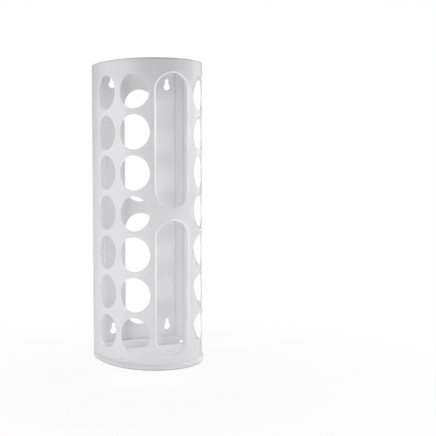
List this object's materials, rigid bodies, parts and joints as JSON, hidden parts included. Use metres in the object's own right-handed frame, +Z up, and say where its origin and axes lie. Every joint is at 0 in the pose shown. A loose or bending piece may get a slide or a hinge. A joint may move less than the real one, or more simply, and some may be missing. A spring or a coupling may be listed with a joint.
{
  "type": "plastic bag holder",
  "caption": "Wall-hung white plastic dispenser for used carrier bags: a bent perforated sheet with tall front openings, a keyholed back panel and a clip-on bottom tray.",
  "frame": {"origin": "at the middle of the footprint, on the plane the tray stands on; the wall plane is 72.3 mm behind it", "axes": "+X to the right seen from the front, +Y into the wall, +Z up"},
  "size_m": [0.161, 0.1446, 0.45],
  "materials": {
    "sheet_plastic": "satin white polypropylene sheet",
    "panel_plastic": "matt white polypropylene",
    "tray_plastic": "satin white moulded polypropylene"
  },
  "bodies": {
    "shell": {"back_panel": "panel_plastic", "front_sheet": "sheet_plastic"},
    "left_fold": {"left_flap": "sheet_plastic"},
    "right_fold": {"right_flap": "sheet_plastic"},
    "tray": {"bottom_tray": "tray_plastic"}
  },
  "joints": [
    {"name": "left_flap_fold", "type": "hinge", "parent": "shell", "child": "left_fold", "pos_m": [-0.07702, 0.07228, 0.226], "axis": [0, 0, 1], "range_deg": [0, 82]},
    {"name": "right_flap_fold", "type": "hinge", "parent": "shell", "child": "right_fold", "pos_m": [0.07702, 0.07228, 0.226], "axis": [0, 0, -1], "range_deg": [0, 82]},
    {"name": "tray_release", "type": "slide", "parent": "shell", "child": "tray", "axis": [0, 0, -1], "range_m": [0, 0.03]}
  ]
}
